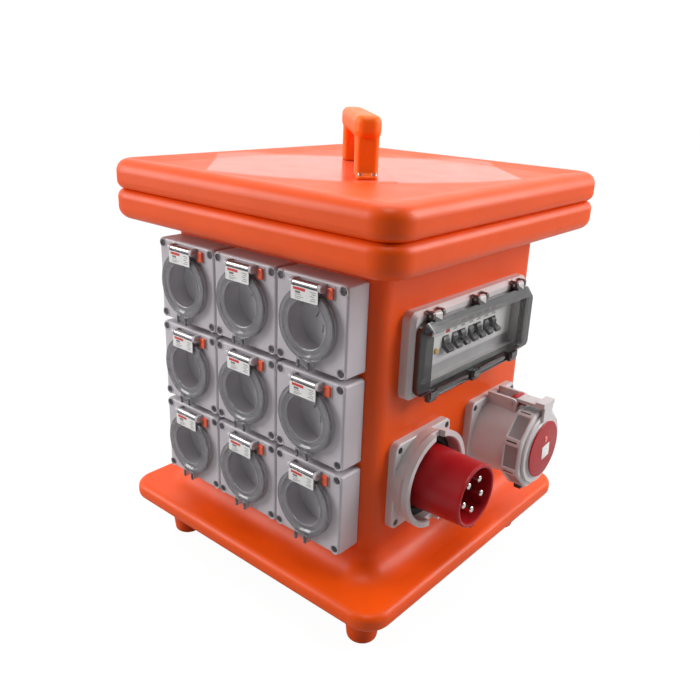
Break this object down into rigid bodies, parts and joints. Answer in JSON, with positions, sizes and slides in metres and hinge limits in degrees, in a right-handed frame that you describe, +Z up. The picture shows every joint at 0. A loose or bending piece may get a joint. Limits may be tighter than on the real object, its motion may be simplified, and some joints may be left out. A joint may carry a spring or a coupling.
{
  "type": "portable power distribution box",
  "caption": "Orange moulded portable power box: footed column with hinged-flap socket outlets, a breaker window, a plug inlet, a capped outlet and a carry handle on its lid.",
  "frame": {"origin": "on the ground under the middle of the whole box, the inlet sleeve and the outlet cap included", "axes": "+Z up; the socket flaps face -Y; the window, inlet and outlet face +X"},
  "size_m": [0.4774, 0.445, 0.592],
  "materials": {
    "orange_body": "satin moulded polyethylene",
    "orange_handle": "satin moulded polyethylene",
    "grey_housing": "satin moulded plastic",
    "smoke_clear": "clear smoked polycarbonate",
    "dark_insert": "matt",
    "light_insert": "matt",
    "red_plastic": "gloss moulded plastic",
    "black_seal": "matt",
    "zinc_steel": "zinc plated",
    "pin_metal": "nickel plated",
    "brass_contact": "plain",
    "lever_black": "satin",
    "button_yellow": "gloss",
    "device_white": "satin"
  },
  "bodies": {
    "root": {"enclosure_body": "orange_body", "lid_gasket": "black_seal", "lid_cover": "orange_body", "lid_screws": "zinc_steel", "carry_handle": "orange_handle", "handle_screws": "zinc_steel", "foot_1": "orange_body", "foot_2": "orange_body", "foot_3": "orange_body", "foot_4": "orange_body", "socket_housing_1": "grey_housing", "socket_housing_2": "grey_housing", "socket_housing_3": "grey_housing", "socket_housing_4": "grey_housing", "socket_housing_5": "grey_housing", "socket_housing_6": "grey_housing", "socket_housing_7": "grey_housing", "socket_housing_8": "grey_housing", "socket_housing_9": "grey_housing", "socket_inserts": "light_insert", "flap_pins": "zinc_steel", "socket_lamps": "red_plastic", "housing_screws": "zinc_steel", "window_frame": "grey_housing", "window_pins": "zinc_steel", "din_rail": "zinc_steel", "rcd_body": "device_white", "rail_blank": "device_white", "breaker_1": "device_white", "breaker_2": "device_white", "breaker_3": "device_white", "inlet_housing": "grey_housing", "inlet_sleeve": "red_plastic", "inlet_insert": "dark_insert", "inlet_pins": "pin_metal", "outlet_housing": "grey_housing", "outlet_insert": "dark_insert", "outlet_hinge_pin": "zinc_steel", "outlet_contacts": "brass_contact", "device_screws": "zinc_steel", "terminal_block": "device_white"},
    "flap_1": {"socket_flap_1": "smoke_clear"},
    "flap_2": {"socket_flap_2": "smoke_clear"},
    "flap_3": {"socket_flap_3": "smoke_clear"},
    "flap_4": {"socket_flap_4": "smoke_clear"},
    "flap_5": {"socket_flap_5": "smoke_clear"},
    "flap_6": {"socket_flap_6": "smoke_clear"},
    "flap_7": {"socket_flap_7": "smoke_clear"},
    "flap_8": {"socket_flap_8": "smoke_clear"},
    "flap_9": {"socket_flap_9": "smoke_clear"},
    "window_cover": {"window_cover": "smoke_clear"},
    "outlet_cap": {"outlet_cap": "grey_housing", "outlet_cap_arm": "red_plastic"},
    "cap_ring": {"outlet_cap_ring": "grey_housing"},
    "rcd_lever": {"rcd_lever": "lever_black"},
    "test_button": {"rcd_test_button": "button_yellow"},
    "toggle_1": {"breaker_toggle_1": "lever_black"},
    "toggle_2": {"breaker_toggle_2": "lever_black"},
    "toggle_3": {"breaker_toggle_3": "lever_black"}
  },
  "joints": [
    {"name": "flap_hinge_1", "type": "hinge", "parent": "root", "child": "flap_1", "pos_m": [-0.1182, -0.205, 0.4306], "axis": [-1, 0, 0], "range_deg": [0, 105]},
    {"name": "flap_hinge_2", "type": "hinge", "parent": "root", "child": "flap_2", "pos_m": [-0.0162, -0.205, 0.4306], "axis": [-1, 0, 0], "range_deg": [0, 105]},
    {"name": "flap_hinge_3", "type": "hinge", "parent": "root", "child": "flap_3", "pos_m": [0.0858, -0.205, 0.4306], "axis": [-1, 0, 0], "range_deg": [0, 105]},
    {"name": "flap_hinge_4", "type": "hinge", "parent": "root", "child": "flap_4", "pos_m": [-0.1182, -0.205, 0.3237], "axis": [-1, 0, 0], "range_deg": [0, 105]},
    {"name": "flap_hinge_5", "type": "hinge", "parent": "root", "child": "flap_5", "pos_m": [-0.0162, -0.205, 0.3237], "axis": [-1, 0, 0], "range_deg": [0, 105]},
    {"name": "flap_hinge_6", "type": "hinge", "parent": "root", "child": "flap_6", "pos_m": [0.0858, -0.205, 0.3237], "axis": [-1, 0, 0], "range_deg": [0, 105]},
    {"name": "flap_hinge_7", "type": "hinge", "parent": "root", "child": "flap_7", "pos_m": [-0.1182, -0.205, 0.2168], "axis": [-1, 0, 0], "range_deg": [0, 105]},
    {"name": "flap_hinge_8", "type": "hinge", "parent": "root", "child": "flap_8", "pos_m": [-0.0162, -0.205, 0.2168], "axis": [-1, 0, 0], "range_deg": [0, 105]},
    {"name": "flap_hinge_9", "type": "hinge", "parent": "root", "child": "flap_9", "pos_m": [0.0858, -0.205, 0.2168], "axis": [-1, 0, 0], "range_deg": [0, 105]},
    {"name": "window_hinge", "type": "hinge", "parent": "root", "child": "window_cover", "pos_m": [0.1703, 0, 0.3945], "axis": [0, -1, 0], "range_deg": [0, 110]},
    {"name": "outlet_cap_hinge", "type": "hinge", "parent": "root", "child": "outlet_cap", "pos_m": [0.1948, 0.08, 0.247], "axis": [0, -1, 0], "range_deg": [0, 100]},
    {"name": "cap_ring_turn", "type": "hinge", "parent": "outlet_cap", "child": "cap_ring", "pos_m": [0.2193, 0.08, 0.192], "axis": [1, 0, 0], "range_deg": [0, 30]},
    {"name": "rcd_switch", "type": "hinge", "parent": "root", "child": "rcd_lever", "pos_m": [0.1508, -0.046, 0.349], "axis": [0, -1, 0], "range_deg": [0, 70]},
    {"name": "test_button_push", "type": "slide", "parent": "root", "child": "test_button", "axis": [-1, 0, 0], "range_m": [0, 0.0018], "stiffness_N_per_m": 300, "springref_m": -0.003},
    {"name": "breaker_switch_1", "type": "hinge", "parent": "root", "child": "toggle_1", "pos_m": [0.1508, -0.0177, 0.349], "axis": [0, -1, 0], "range_deg": [0, 70]},
    {"name": "breaker_switch_2", "type": "hinge", "parent": "root", "child": "toggle_2", "pos_m": [0.1508, 0.0177, 0.349], "axis": [0, -1, 0], "range_deg": [0, 70]},
    {"name": "breaker_switch_3", "type": "hinge", "parent": "root", "child": "toggle_3", "pos_m": [0.1508, 0.0531, 0.349], "axis": [0, -1, 0], "range_deg": [0, 70]}
  ]
}
